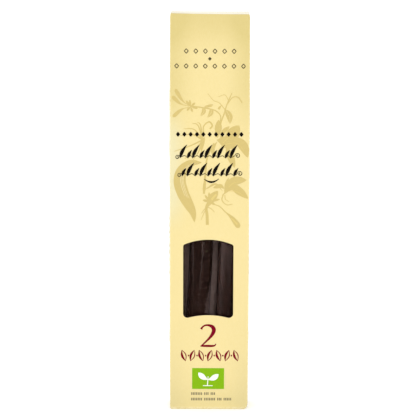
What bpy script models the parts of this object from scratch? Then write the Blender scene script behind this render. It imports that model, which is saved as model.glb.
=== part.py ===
"""A slim window carton that holds two vanilla pods.

Run it with: blender --background --python part.py

The carton stands on its bottom end. X is across the front, -Y faces the viewer,
Z is up, and the origin is at the middle of the bottom face. Units are metres.
"""

import math

import bmesh
import bpy
from mathutils import Vector

# --- Driving sizes ---------------------------------------------------------

CARTON_WIDTH = 0.034
CARTON_DEPTH = 0.015
CARTON_HEIGHT = 0.173
CARD = 0.0005  # thickness of the folded card
CLEARANCE = 0.0003  # gap kept between pieces that touch

# Folds. The right side panel turns under in a softer bend than the left one.
FOLD_RADIUS = 0.00035
LEFT_END_RADIUS = 0.0006
RIGHT_TOP_RADIUS = 0.0009
RIGHT_BOTTOM_RADIUS = 0.0018
FOLD_SEGMENTS = 4

# Closure panels at both ends: a slit one card deep runs round three sides.
SLIT_WIDTH = 0.00025

# The window is an upright banner whose top and bottom both arch upwards.
WINDOW_CENTRE_X = -0.0003
WINDOW_HALF_WIDTH = 0.0107
WINDOW_BOTTOM = 0.0425  # height of the bottom arch at its middle
WINDOW_TOP = 0.0758  # height of the top arch at its middle
TOP_ARCH_RADIUS = 0.0225
BOTTOM_ARCH_RADIUS = 0.033
WINDOW_CORNER_RADIUS = 0.0012
ARC_STEPS = 12
CORNER_STEPS = 5

# Clear film glued behind the window.
FILM_THICKNESS = 0.00025
FILM_MARGIN = 0.0035
FILM_CORNER_RADIUS = 0.001

# Two flattened pods lie side by side behind the film. Each one's spine sways from
# side to side once along its length, and its stem end hooks away from the other.
POD_SEGMENTS = 12
POD_RINGS = 26
POD_CENTRE_Y = -0.0029
SWAY_CROSSING = 0.34  # where the spine crosses its middle line, from the tip up
PODS = {
    "pod_left": {
        "centre_x": -0.0044,
        "half_width": 0.0058,
        "half_depth": 0.0031,
        "length": 0.159,
        "lowest": 0.0045,
        "sway": 0.0012,
        "hook": -0.0046,
        "colour": (0.035, 0.017, 0.012, 1.0),
    },
    "pod_right": {
        "centre_x": 0.0080,
        "half_width": 0.0051,
        "half_depth": 0.0030,
        "length": 0.155,
        "lowest": 0.0080,
        "sway": 0.0008,
        "hook": 0.0036,
        "colour": (0.041, 0.020, 0.014, 1.0),
    },
}


# --- Helpers ---------------------------------------------------------------


def clear_scene():
    """Removes the objects of the startup scene."""
    for obj in list(bpy.data.objects):
        bpy.data.objects.remove(obj, do_unlink=True)


def make_collection(name):
    """A new collection, linked to the scene."""
    made = bpy.data.collections.new(name)
    bpy.context.scene.collection.children.link(made)
    return made


def make_material(name, colour, roughness, metallic=0.0):
    """A Principled material of one colour."""
    made = bpy.data.materials.new(name)
    made.use_nodes = True
    shader = made.node_tree.nodes["Principled BSDF"]
    shader.inputs["Base Color"].default_value = colour
    shader.inputs["Roughness"].default_value = roughness
    shader.inputs["Metallic"].default_value = metallic
    made.diffuse_color = colour
    return made


def object_from_bmesh(name, bm, collection, material=None):
    """Turns a bmesh into a named object in a collection."""
    bmesh.ops.recalc_face_normals(bm, faces=bm.faces)
    mesh = bpy.data.meshes.new(name)
    bm.to_mesh(mesh)
    bm.free()
    obj = bpy.data.objects.new(name, mesh)
    collection.objects.link(obj)
    if material:
        mesh.materials.append(material)
    return obj


def block(low, high):
    """A bmesh box between two corners."""
    bm = bmesh.new()
    bmesh.ops.create_cube(bm, size=1.0)
    low, high = Vector(low), Vector(high)
    for vertex in bm.verts:
        share = vertex.co + Vector((0.5, 0.5, 0.5))
        vertex.co = low + share * (high - low)
    return bm


def round_edges(bm, radius, segments, wanted):
    """Bevels the edges for which wanted(midpoint, direction) is true."""
    chosen = []
    for edge in bm.edges:
        first, second = (vertex.co for vertex in edge.verts)
        if wanted((first + second) / 2, (second - first).normalized()):
            chosen.append(edge)
    bmesh.ops.bevel(
        bm,
        geom=chosen,
        offset=radius,
        offset_type="OFFSET",
        segments=segments,
        profile=0.5,
        affect="EDGES",
        clamp_overlap=True,
    )


def cut(obj, cutter):
    """Subtracts one object from another with a live Boolean."""
    cutter.hide_render = True
    cutter.display_type = "WIRE"
    modifier = obj.modifiers.new("cut_" + cutter.name, "BOOLEAN")
    modifier.operation = "DIFFERENCE"
    modifier.solver = "EXACT"
    modifier.object = cutter


# --- Carton ----------------------------------------------------------------


def folded_block(inset_side, inset_end, fold_radius):
    """The carton's block, drawn in by an inset, with its end bends and folds rounded.

    The four bends along Y come first, each with its own radius, so that the
    front and back outlines are already round-cornered when their loops of
    folds are rounded. A bend that the inset has all but used up stays sharp.
    """
    half_width = CARTON_WIDTH / 2 - inset_side
    half_depth = CARTON_DEPTH / 2 - inset_side
    top = CARTON_HEIGHT - inset_end
    bm = block((-half_width, -half_depth, inset_end), (half_width, half_depth, top))
    bends = (
        (-half_width, inset_end, LEFT_END_RADIUS),
        (-half_width, top, LEFT_END_RADIUS),
        (half_width, inset_end, RIGHT_BOTTOM_RADIUS),
        (half_width, top, RIGHT_TOP_RADIUS),
    )
    for x, z, radius in bends:
        if radius - inset_side < CARD / 2:
            continue
        corner = Vector((x, 0.0, z))
        round_edges(
            bm,
            radius - inset_side,
            FOLD_SEGMENTS,
            lambda middle, way, corner=corner: abs(way.y) > 0.9
            and (middle - corner).length < CARD / 2,
        )
    if fold_radius > 0:
        round_edges(
            bm,
            fold_radius,
            FOLD_SEGMENTS,
            lambda middle, way: abs(way.y) < 0.1
            and abs(abs(middle.y) - half_depth) < CARD / 10,
        )
    return bm


def arc(centre, radius, start, end, steps):
    """Points (x, z) along an arc from one angle to another, both ends included."""
    points = []
    for step in range(steps + 1):
        angle = start + (end - start) * step / steps
        points.append(
            (centre[0] + radius * math.cos(angle), centre[1] + radius * math.sin(angle))
        )
    return points


def window_outline():
    """The window's outline as (x, z) points, anticlockwise from the lower right.

    The straight sides meet the arches in corner arcs. A corner's centre lies
    one corner radius in from the side, and from the arch's centre it is the
    arch's radius less the corner's at the top, and the two together below.
    """
    inner_x = WINDOW_HALF_WIDTH - WINDOW_CORNER_RADIUS
    top_centre = WINDOW_TOP - TOP_ARCH_RADIUS
    bottom_centre = WINDOW_BOTTOM - BOTTOM_ARCH_RADIUS
    top_reach = TOP_ARCH_RADIUS - WINDOW_CORNER_RADIUS
    bottom_reach = BOTTOM_ARCH_RADIUS + WINDOW_CORNER_RADIUS
    top_angle = math.acos(inner_x / top_reach)
    bottom_angle = math.acos(inner_x / bottom_reach)
    top_corner_z = top_centre + top_reach * math.sin(top_angle)
    bottom_corner_z = bottom_centre + bottom_reach * math.sin(bottom_angle)
    corner = WINDOW_CORNER_RADIUS
    points = arc(
        (inner_x, bottom_corner_z), corner, bottom_angle - math.pi, 0.0, CORNER_STEPS
    )
    points += arc((inner_x, top_corner_z), corner, 0.0, top_angle, CORNER_STEPS)
    points += arc(
        (0.0, top_centre), TOP_ARCH_RADIUS, top_angle, math.pi - top_angle, ARC_STEPS
    )[1:-1]
    points += arc(
        (-inner_x, top_corner_z), corner, math.pi - top_angle, math.pi, CORNER_STEPS
    )
    points += arc(
        (-inner_x, bottom_corner_z), corner, -math.pi, -bottom_angle, CORNER_STEPS
    )
    points += arc(
        (0.0, bottom_centre),
        BOTTOM_ARCH_RADIUS,
        math.pi - bottom_angle,
        bottom_angle,
        ARC_STEPS,
    )[1:-1]
    return [(WINDOW_CENTRE_X + x, z) for x, z in points]


def plate_from_outline(name, outline, front, thickness, collection, material=None):
    """A flat plate facing -Y: the outline as a filled 2D curve, extruded, then a mesh."""
    curve = bpy.data.curves.new(name + "_outline", "CURVE")
    curve.dimensions = "2D"
    curve.fill_mode = "BOTH"
    curve.extrude = thickness / 2
    spline = curve.splines.new("POLY")
    spline.points.add(len(outline) - 1)
    for point, (x, z) in zip(spline.points, outline):
        point.co = (x, z, 0.0, 1.0)
    spline.use_cyclic_u = True
    drawn = bpy.data.objects.new(name + "_outline", curve)
    collection.objects.link(drawn)
    drawn.rotation_euler = (math.pi / 2, 0.0, 0.0)
    drawn.location = (0.0, front + thickness / 2, 0.0)
    bpy.context.view_layer.update()
    graph = bpy.context.evaluated_depsgraph_get()
    mesh = bpy.data.meshes.new_from_object(drawn.evaluated_get(graph))
    bm = bmesh.new()
    bm.from_mesh(mesh)
    bmesh.ops.remove_doubles(bm, verts=bm.verts, dist=1e-6)
    bpy.data.meshes.remove(mesh)
    plate = object_from_bmesh(name, bm, collection, material)
    plate.matrix_world = drawn.matrix_world
    bpy.data.objects.remove(drawn, do_unlink=True)
    return plate


def closure_slits(at_top):
    """Boxes for the slits round one closure panel, which is hinged on its fourth side.

    The top panel is hinged at the back and tucks in behind the front panel.
    The bottom panel is hinged at the front and tucks in behind the back panel.
    """
    free_side = -1.0 if at_top else 1.0
    outer = CARTON_HEIGHT + CARD if at_top else -CARD
    inner = CARTON_HEIGHT - CARD if at_top else CARD
    low_z, high_z = min(outer, inner), max(outer, inner)
    right_radius = RIGHT_TOP_RADIUS if at_top else RIGHT_BOTTOM_RADIUS
    left_x = -CARTON_WIDTH / 2 + CARD
    right_x = CARTON_WIDTH / 2 - max(CARD, 0.75 * right_radius)
    hinge_y = -free_side * (CARTON_DEPTH / 2 - 2 * CARD)
    free_y = free_side * (CARTON_DEPTH / 2 - CARD)
    boxes = []
    for low_x, high_x in (
        (left_x, left_x + SLIT_WIDTH),
        (right_x - SLIT_WIDTH, right_x),
    ):
        ys = sorted((hinge_y, free_y))
        boxes.append(((low_x, ys[0], low_z), (high_x, ys[1], high_z)))
    ys = sorted((free_y, free_y - free_side * SLIT_WIDTH))
    overlap = SLIT_WIDTH / 2
    boxes.append(
        ((left_x + overlap, ys[0], low_z), (right_x - overlap, ys[1], high_z))
    )
    return boxes


def glue_seam():
    """A shallow slit up the back, where the back panel's raw edge lies on the glue flap."""
    edge = -CARTON_WIDTH / 2 + 2 * CARD
    back = CARTON_DEPTH / 2
    margin = 6 * CARD
    return (
        (edge, back - CARD / 2, margin),
        (edge + SLIT_WIDTH, back + CARD, CARTON_HEIGHT - margin),
    )


def build_carton(collection, cutters):
    """One folded card: a closed sleeve with rounded folds, a window and end closures."""
    card = make_material("printed_card", (0.96, 0.80, 0.37, 1.0), 0.45)
    carton = object_from_bmesh(
        "carton", folded_block(0.0, 0.0, FOLD_RADIUS), collection, card
    )
    inside = folded_block(CARD, 2 * CARD, 0.0)
    cut(carton, object_from_bmesh("inside", inside, cutters))
    through = 4 * CARD
    cut(
        carton,
        plate_from_outline(
            "window",
            window_outline(),
            -CARTON_DEPTH / 2 - through / 2,
            through,
            cutters,
        ),
    )
    slits = closure_slits(True) + closure_slits(False) + [glue_seam()]
    for number, (low, high) in enumerate(slits):
        cut(carton, object_from_bmesh(f"slit_{number}", block(low, high), cutters))
    return carton


def build_window_film(collection):
    """A clear patch, a little larger than the window, just behind the front panel."""
    film = make_material("clear_film", (0.9, 0.9, 0.9, 1.0), 0.08)
    front = -CARTON_DEPTH / 2 + CARD + CLEARANCE
    reach = WINDOW_HALF_WIDTH + FILM_MARGIN
    bm = block(
        (WINDOW_CENTRE_X - reach, front, WINDOW_BOTTOM - FILM_MARGIN),
        (WINDOW_CENTRE_X + reach, front + FILM_THICKNESS, WINDOW_TOP + FILM_MARGIN),
    )
    round_edges(
        bm, FILM_CORNER_RADIUS, FOLD_SEGMENTS, lambda middle, way: abs(way.y) > 0.9
    )
    return object_from_bmesh("window_film", bm, collection, film)


# --- Pods ------------------------------------------------------------------


def smooth_step(value, low, high):
    """0 below low, 1 above high, and a smooth rise between."""
    share = min(1.0, max(0.0, (value - low) / (high - low)))
    return share * share * (3.0 - 2.0 * share)


def pod_girth(along):
    """Share of the full width at a place along the pod, from its tip at 0 to its stem at 1.

    A blunt tip swells into the body, and the body draws in to a thin neck
    that flares a little where it was picked from the vine.
    """
    tip = 0.26 + 0.74 * smooth_step(along, -0.02, 0.13)
    neck = 1.0 - 0.68 * smooth_step(along, 0.84, 0.955)
    flare = 0.10 * smooth_step(along, 0.975, 1.0)
    swell = 1.0 + 0.035 * math.sin(2 * math.pi * (1.6 * along + 0.2))
    return tip * neck * swell + flare


def shape_pod(point, pod):
    """Moves a point of a unit cylinder onto the pod.

    The cylinder's height is the way along the pod. Its circle becomes a
    flattened oval with three furrows, which is round again at both ends.
    """
    along = point.z + 0.5
    angle = math.atan2(point.y, point.x)
    reach = math.hypot(point.x, point.y)
    girth = pod_girth(along)
    flat = smooth_step(along, 0.0, 0.12) * (1.0 - smooth_step(along, 0.85, 0.96))
    furrow = 1.0 - 0.07 * flat * (0.5 + 0.5 * math.cos(3.0 * angle - math.pi / 2))
    half_depth = pod["half_width"] + flat * (pod["half_depth"] - pod["half_width"])
    bend = smooth_step(along, 0.86, 1.0)
    sway = pod["sway"] * math.sin(2 * math.pi * (along - SWAY_CROSSING))
    centre_x = pod["centre_x"] + sway + pod["hook"] * bend**2
    centre_z = pod["lowest"] + pod["length"] * (along - 0.02 * bend**2)
    lean = pod["hook"] * bend / pod["length"] * 8.0
    across = reach * girth * furrow * pod["half_width"] * math.cos(angle)
    deep = reach * girth * furrow * half_depth * math.sin(angle)
    return Vector((centre_x + across, POD_CENTRE_Y + deep, centre_z - across * lean))


def build_pod(name, pod, collection):
    """A cylinder with rings of edges along it, shaped by shape_pod and subdivided."""
    bm = bmesh.new()
    bmesh.ops.create_cone(
        bm,
        cap_ends=True,
        cap_tris=False,
        segments=POD_SEGMENTS,
        radius1=1.0,
        radius2=1.0,
        depth=1.0,
    )
    long_edges = [
        edge for edge in bm.edges if abs(edge.verts[0].co.z - edge.verts[1].co.z) > 0.5
    ]
    bmesh.ops.subdivide_edges(bm, edges=long_edges, cuts=POD_RINGS, use_grid_fill=True)
    for vertex in bm.verts:
        vertex.co = shape_pod(vertex.co, pod)
    skin = make_material(name + "_skin", pod["colour"], 0.42)
    obj = object_from_bmesh(name, bm, collection, skin)
    soften = obj.modifiers.new("soften", "SUBSURF")
    soften.levels = 1
    soften.render_levels = 1
    obj.data.shade_smooth()
    return obj


# --- Whole object ----------------------------------------------------------


def main():
    clear_scene()
    pack = make_collection("vanilla_pod_carton")
    cutters = make_collection("cutters")
    carton = build_carton(pack, cutters)
    carton.data.shade_smooth()
    carton.data.set_sharp_from_angle(angle=math.radians(35.0))
    build_window_film(pack)
    for name, pod in PODS.items():
        build_pod(name, pod, pack)


main()
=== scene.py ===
# %% [markdown]
# # A window carton of vanilla pods
#
# This lesson dresses a plain model of a slim spice carton. The real thing is one
# sheet of grey-brown board with a white coated face, printed pale yellow on that
# face, folded round into a sleeve, glued up its back and shut with a tucked
# closure at each end. An arched window is cut through the front, clear film closes
# it, and two oily, wrinkled vanilla pods lie behind the film.
#
# The plain model says where everything is. Every piece below takes its place from
# that model, rides on it, and adds what the eye expects: real board thickness,
# folds, print, film and wrinkled skin.

# %% Load the plain model
import math

import bpy
import numpy as np
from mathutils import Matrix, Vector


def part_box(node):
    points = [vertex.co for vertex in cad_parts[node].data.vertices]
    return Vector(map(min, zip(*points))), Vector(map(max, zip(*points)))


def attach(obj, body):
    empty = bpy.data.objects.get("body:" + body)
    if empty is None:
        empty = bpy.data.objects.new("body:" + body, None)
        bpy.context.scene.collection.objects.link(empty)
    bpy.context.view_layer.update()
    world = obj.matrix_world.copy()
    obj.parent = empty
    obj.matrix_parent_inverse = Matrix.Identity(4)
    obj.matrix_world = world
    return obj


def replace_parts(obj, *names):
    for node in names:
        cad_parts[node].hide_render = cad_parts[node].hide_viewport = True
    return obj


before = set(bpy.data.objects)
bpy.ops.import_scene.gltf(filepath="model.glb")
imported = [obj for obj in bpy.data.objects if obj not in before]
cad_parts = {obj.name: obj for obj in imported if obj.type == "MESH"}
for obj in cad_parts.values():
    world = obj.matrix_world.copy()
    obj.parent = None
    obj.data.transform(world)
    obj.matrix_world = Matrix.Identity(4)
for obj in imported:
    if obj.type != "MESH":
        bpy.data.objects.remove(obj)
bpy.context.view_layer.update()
carton_low, carton_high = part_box("carton")
film_low, film_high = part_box("window_film")

HALF_WIDTH = carton_high.x
HALF_DEPTH = carton_high.y
HEIGHT = carton_high.z
MM = 0.001
print("carton", [round(1000 * side, 1) for side in (2 * HALF_WIDTH, 2 * HALF_DEPTH, HEIGHT)], "mm")

# %% [markdown]
# ## Two helpers for numbers
#
# Nearly every shape here fades in and out somewhere, so one function gives a soft
# step. Uneven surfaces, such as film and pod skin, come from sums of a few dozen
# sine waves that run in random directions. The sum is smooth, never repeats over
# a small piece, and is the same on each run because its generator is seeded.


# %% Soft steps and wandering waves
def soft_step(value, low, high):
    """0 below low, 1 above high, and between them the cubic 3s^2 - 2s^3 of the share s of the way."""
    share = np.clip((value - low) / (high - low), 0.0, 1.0)
    return share * share * (3.0 - 2.0 * share)


def wander(first, second, longest, shortest, seed, waves=28):
    """A sum of sine waves of random direction and phase, about -1 to 1, over two coordinates.

    Wavelengths run from longest to shortest, in metres, and a wave's height is in
    proportion to its length.
    """
    chance = np.random.default_rng(seed)
    total = np.zeros(np.broadcast(first, second).shape)
    weight = 0.0
    for length in np.geomspace(longest, shortest, waves):
        way, phase = chance.uniform(0.0, 2.0 * math.pi, 2)
        along = first * math.cos(way) + second * math.sin(way)
        total += length * np.sin(2.0 * math.pi * along / length + phase)
        weight += length**2
    return total / math.sqrt(2.0 * weight)


# %% [markdown]
# ## From a grid of points to a piece
#
# Each surface is a grid: rows of points worked out as one array. Neighbouring
# points join into four-sided faces, whose order decides which way they face.
# Board, film and ink all get a real thickness from Solidify, so no piece is a
# sheet without thickness. Its result is kept as the mesh, and edges that turn
# sharply are marked so that a cut edge stays crisp while a fold stays smooth.


# %% Grids, thickness and finished pieces
def grid_faces(rows, columns, closed=False, kept=None, flip=False):
    """Quads over points numbered row by row.

    Closed joins the last column to the first, kept picks some of the quads, and
    flip turns them to face the other way.
    """
    number = np.arange(rows * columns).reshape(rows, columns)
    if closed:
        number = np.concatenate([number, number[:, :1]], axis=1)
    quads = np.stack(
        [number[:-1, :-1], number[:-1, 1:], number[1:, 1:], number[1:, :-1]], axis=-1
    )
    if kept is not None:
        quads = quads[kept]
    quads = quads.reshape(-1, 4)
    return quads[:, ::-1] if flip else quads


def new_object(name, points, faces, finishes, body="root"):
    """An object from an array of points and one of faces, with its finishes, riding on a body."""
    mesh = bpy.data.meshes.new(name)
    used, numbers = np.unique(faces, return_inverse=True)
    faces = numbers.reshape(faces.shape)
    points = points.reshape(-1, 3)[used]
    mesh.vertices.add(len(points))
    mesh.vertices.foreach_set("co", points.astype(np.float32).ravel())
    mesh.loops.add(faces.size)
    mesh.loops.foreach_set("vertex_index", faces.astype(np.int32).ravel())
    mesh.polygons.add(len(faces))
    sides = faces.shape[1]
    mesh.polygons.foreach_set("loop_start", np.arange(0, faces.size, sides, dtype=np.int32))
    mesh.update(calc_edges=True)
    mesh.validate()
    for finish in finishes:
        mesh.materials.append(finish)
    made = bpy.data.objects.new(name, mesh)
    bpy.context.scene.collection.objects.link(made)
    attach(made, body)
    return made


def keep_shape(made, sharp_degrees=38.0):
    """Turns an object's modifiers into its mesh, shades it smooth and marks its sharp edges."""
    bpy.context.view_layer.update()
    graph = bpy.context.evaluated_depsgraph_get()
    shaped = bpy.data.meshes.new_from_object(made.evaluated_get(graph))
    plain, made.data = made.data, shaped
    made.modifiers.clear()
    bpy.data.meshes.remove(plain)
    shaped.name = made.name
    shaped.shade_smooth()
    shaped.set_sharp_from_angle(angle=math.radians(sharp_degrees))
    print(f"{made.name}: {len(shaped.polygons)} faces")
    return made


def thicken(made, thickness, inner_finish=0, even=True):
    """Gives a surface a thickness, on its inner side.

    An inner finish of 1 puts the second material on the back and the cut edges.
    Even keeps the thickness the same where the surface bends.
    """
    solid = made.modifiers.new("thickness", "SOLIDIFY")
    solid.thickness = thickness
    solid.offset = -1.0
    solid.use_even_offset = even
    solid.material_offset = inner_finish
    solid.material_offset_rim = inner_finish
    return keep_shape(made)


# %% [markdown]
# ## Shader maths that reads like maths
#
# A procedural finish is a small calculation: how near is this spot to a fold, how
# cloudy is the ink here. Wiring that by hand takes dozens of Math nodes, so one
# small class wraps a socket and turns Python's own operators into those nodes.
# Every other node comes from a single method, which takes the node's type, its
# settings and the values or links of its sockets.


# %% The shader classes
class Value:
    """A shader socket that can be added, subtracted and multiplied."""

    def __init__(self, finish, socket):
        self.finish = finish
        self.socket = socket

    def maths(self, operation, *others):
        inputs = dict(enumerate((self, *others)))
        return self.finish.node("ShaderNodeMath", {"operation": operation}, inputs)

    def __add__(self, other):
        return self.maths("ADD", other)

    def __sub__(self, other):
        return self.maths("SUBTRACT", other)

    def __mul__(self, other):
        return self.maths("MULTIPLY", other)

    def __rsub__(self, other):
        return (self * -1.0) + other

    __radd__ = __add__

    def size(self):
        """The value without its sign."""
        return self.maths("ABSOLUTE")

    def step(self, low, high):
        """A soft step: 0 below low, 1 above high."""
        return self.finish.node(
            "ShaderNodeMapRange",
            {"interpolation_type": "SMOOTHSTEP"},
            {"Value": self, "From Min": low, "From Max": high},
        )

    def band(self, left, right, soft):
        """1 between left and right, fading to 0 over soft on either side."""
        return self.step(left - soft, left + soft) - self.step(right - soft, right + soft)


class Finish:
    """One material and the nodes in it. Place is the Object coordinate, and x, y and z are its parts."""

    def __init__(self, name):
        self.material = bpy.data.materials.new(name)
        self.material.use_nodes = True
        self.tree = self.material.node_tree
        self.tree.nodes.clear()
        self.place = self.node("ShaderNodeTexCoord", output="Object")
        split = self.node("ShaderNodeSeparateXYZ", inputs={"Vector": self.place}, output=None)
        self.x, self.y, self.z = (Value(self, split.outputs[axis]) for axis in "XYZ")

    def node(self, kind, settings=None, inputs=None, output=0):
        """Makes a node, sets its settings first, then its inputs, and returns one output as a Value."""
        made = self.tree.nodes.new(kind)
        for name, setting in (settings or {}).items():
            setattr(made, name, setting)
        for name, value in (inputs or {}).items():
            if isinstance(value, Value):
                self.tree.links.new(value.socket, made.inputs[name])
            else:
                made.inputs[name].default_value = value
        return made if output is None else Value(self, made.outputs[output])

    def stretched(self, z):
        """The place on the piece with its height scaled: below 1 it draws a pattern out upwards."""
        return self.node("ShaderNodeMapping", inputs={"Vector": self.place, "Scale": (1.0, 1.0, z)})

    def noise(self, scale, detail=3.0, roughness=0.55, vector=None):
        """Cloudy noise from 0 to 1, with scale clouds a metre."""
        return self.node(
            "ShaderNodeTexNoise",
            inputs={
                "Vector": vector or self.place,
                "Scale": scale,
                "Detail": detail,
                "Roughness": roughness,
            },
        )

    def mix(self, share, first, second):
        """A colour between two colours."""
        return self.node(
            "ShaderNodeMix",
            {"data_type": "RGBA"},
            {0: share, 6: first, 7: second},
            output=2,
        )

    def bump(self, height, distance):
        """A normal bent by a height from 0 to 1 that stands for distance in metres."""
        return self.node("ShaderNodeBump", inputs={"Height": height, "Distance": distance})

    def surface(self, shader):
        """Sends a shader to the material's output."""
        self.node("ShaderNodeOutputMaterial", inputs={"Surface": shader}, output=None)
        return self.material

    def principled(self, **inputs):
        """Ends the material in a Principled shader. An underscore in a name stands for a space."""
        named = {name.replace("_", " "): value for name, value in inputs.items()}
        return self.surface(self.node("ShaderNodeBsdfPrincipled", inputs=named))


# %% [markdown]
# ## Printed board
#
# Folding box board is grey-brown and fibrous, with a white coated outer face. Its
# bare side is drawn darker than board usually is, partly as painted shade for the
# inside of the shut box. The coated face is flooded with pale yellow ink, and a
# gloss varnish lies over it. The yellow turns deeper towards the head and towards
# the side edges of the upper part. Towards the foot and the side edges of the lower
# part it is darkened by painted shade, and a pale patch on the left margin is a
# painted glare. Ink cracks along the folds and shows the white coat there; at the
# closures' hinges that paleness is partly a painted highlight, and the top end face
# is lightened by a painted highlight. A printed flood is never quite even, so two
# clouds of noise stir the colour, a large one and one as fine as paper fibre.

# %% Colours of the print
YELLOW = (0.748, 0.604, 0.248, 1.0)
YELLOW_DEEP = (0.580, 0.458, 0.132, 1.0)
# the darker yellow of the painted shade towards the foot and the lower side edges
PAINTED_SHADE_YELLOW = (0.545, 0.455, 0.185, 1.0)
PAINTED_GLARE_YELLOW = (0.66, 0.645, 0.430, 1.0)
# partly the board's own brown, partly painted shade for the inside of the shut box
BOARD_BROWN_AND_SHADE = (0.23, 0.155, 0.135, 1.0)
BOARD_FIBRE = (0.37, 0.275, 0.240, 1.0)
# the white coat that shows through worn ink, also the colour of the painted highlights
COAT_WHITE_AND_HIGHLIGHT = (0.93, 0.86, 0.62, 1.0)


def printed_card():
    """Yellow flood print, cloudy, with painted shade and painted highlights, and rubbed pale at the folds.

    First come the slow changes of tone over the whole card: deeper towards the head
    and the upper side edges, then painted shade towards the foot and the lower side
    edges. Then come the painted glare on the left margin, the paper fibre, the wear
    along the folds, which is partly a painted highlight at the hinges, and the
    painted highlight on the top end face.
    """
    card = Finish("printed_card")
    to_edge = card.x.size().step(5 * MM, HALF_WIDTH)
    upper = card.z.step(112 * MM, 146 * MM)
    head = card.z.step(154 * MM, HEIGHT)
    foot = (1.0 - card.z.step(2 * MM, 17 * MM)) * card.z.step(-2 * MM, 4 * MM)
    low = 1.0 - card.z.step(0.0, 45 * MM)
    cloud = card.noise(55.0, 2.0) - 0.5
    deep = upper * 0.12 + head * 0.66 + cloud * 0.16 + 0.02
    deep = deep + to_edge * (0.04 + upper * 0.53)
    colour = card.mix(deep, YELLOW, YELLOW_DEEP)
    # Painted shade: the yellow darkens towards the foot and towards the side edges of the lower part.
    colour = card.mix(foot * 0.21 + to_edge * low * 0.38, colour, PAINTED_SHADE_YELLOW)
    # A painted glare: a pale patch on the left margin where a lamp's soft highlight falls.
    painted_glare = (1.0 - card.x.step(-HALF_WIDTH, -8 * MM)) * card.z.band(86 * MM, 127 * MM, 9 * MM)
    colour = card.mix(painted_glare * 0.55, colour, PAINTED_GLARE_YELLOW)
    fibre = card.noise(1500.0, 4.0, 0.7, card.stretched(z=0.45))
    colour = card.mix((fibre - 0.5) * 0.16 + 0.08, colour, COAT_WHITE_AND_HIGHLIGHT)
    near_side = card.x.size().step(HALF_WIDTH - 0.5 * MM, HALF_WIDTH - 0.05 * MM)
    near_face = card.y.size().step(HALF_DEPTH - 0.9 * MM, HALF_DEPTH - 0.3 * MM)
    # At the closures' hinges the pale rub is partly wear and partly a painted highlight on the rounded fold.
    top_hinge_wear_and_highlight = card.z.step(HEIGHT - 1.0 * MM, HEIGHT - 0.4 * MM) * card.y.step(0.0, MM)
    foot_hinge_wear_and_highlight = (1.0 - card.z.step(0.5 * MM, 1.5 * MM)) * (1.0 - card.y.step(-MM, 0.0))
    fold_wear_and_highlight = near_side + (top_hinge_wear_and_highlight + foot_hinge_wear_and_highlight) * 0.9
    rubbed_and_highlit = fold_wear_and_highlight * near_face * card.noise(700.0, 3.0, 0.7).step(0.25, 0.70)
    colour = card.mix(rubbed_and_highlit * 0.55, colour, COAT_WHITE_AND_HIGHLIGHT)
    # A painted highlight: the top end face is lightened, more towards the right, as where light from above
    # falls on it.
    top_face_highlight = card.z.step(HEIGHT - 0.7 * MM, HEIGHT - 0.4 * MM) * card.y.step(-7.2 * MM, -6.8 * MM)
    colour = card.mix(top_face_highlight * card.x.step(-20 * MM, -4 * MM) * 0.60, colour, COAT_WHITE_AND_HIGHLIGHT)
    relief = fibre * 0.6 + card.noise(260.0, 2.0) * 0.4
    return card.principled(
        Base_Color=colour,
        Roughness=0.46 + (fibre - 0.5) * 0.16 + rubbed_and_highlit * 0.15,
        Coat_Weight=0.95 - rubbed_and_highlit * 0.45,
        Coat_Roughness=0.16,
        Coat_IOR=1.45,
        Specular_IOR_Level=0.25,
        Normal=card.bump(relief, 0.00002),
    )


def raw_board():
    """Bare grey-brown board with drawn-out fibres, as seen on cut edges and inside, drawn darker than board
    usually is, partly as painted shade for the inside of the shut box.
    """
    board = Finish("raw_board")
    fibre = board.noise(2200.0, 4.0, 0.7, board.stretched(z=0.25))
    colour = board.mix(fibre.step(0.30, 0.8), BOARD_BROWN_AND_SHADE, BOARD_FIBRE)
    return board.principled(
        Base_Color=colour, Roughness=0.85, Normal=board.bump(fibre, 0.00004)
    )


PRINTED_CARD = printed_card()
RAW_BOARD = raw_board()
CARD_FINISHES = [PRINTED_CARD, RAW_BOARD]

# %% [markdown]
# ## The sleeve
#
# The sleeve is one strip of board: a glue flap, the left side, the front, the
# right side and the back. Seen from above, its outline is a path with a small arc
# at each fold. The back ends as a raw cut edge that lies over the glue flap, which
# makes the seam that every glued carton has.
#
# So the sleeve is that path carried up the height. Each column of the grid is one
# place on the path. Its lower and upper ends follow the die line: the front and
# back round off at their corners, the sides stop where the dust flaps bend over,
# and a hinged panel stops where its closure begins to bend.

# %% Board sizes
BOARD = 0.0004  # thickness of the board
BULGE = 0.00016  # how far the middle of the front and back stands proud of their folds
SIDE_BOW = 0.00015  # how far the upright folds bow out at mid-height
SIDE_BULGE = 0.00018  # how far the middle of a side stands proud of its folds
FOLD = 0.00045  # outer radius of the upright folds
HINGE = 0.0007  # outer radius of a closure's hinge
GAP = 0.00005  # space between boards that lie on each other
CUT_EDGE = 0.00005  # a tucked closure stands this much above the panel's cut edge
DIE_ZONE = 0.012  # the die line's shape fades out over this much of each end
PATH_STEP = 0.0012  # the longest step along the sleeve's outline
FLAP_STEP = 0.0008  # and along the closures and flaps, which bend more tightly
FLUSH = 0.00012  # play between a tuck flap and the panel that it slides behind
LAP = 0.0001  # a bent board starts this far behind the end of the panel that it belongs to
LEFT_BEND = 0.0006  # bends of the dust flaps, from the side panels
RIGHT_TOP_BEND = 0.0009
RIGHT_FOOT_BEND = 0.0022
FLAT_Y = HALF_DEPTH - BULGE  # how far from the middle the front's and back's folds lie


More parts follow.
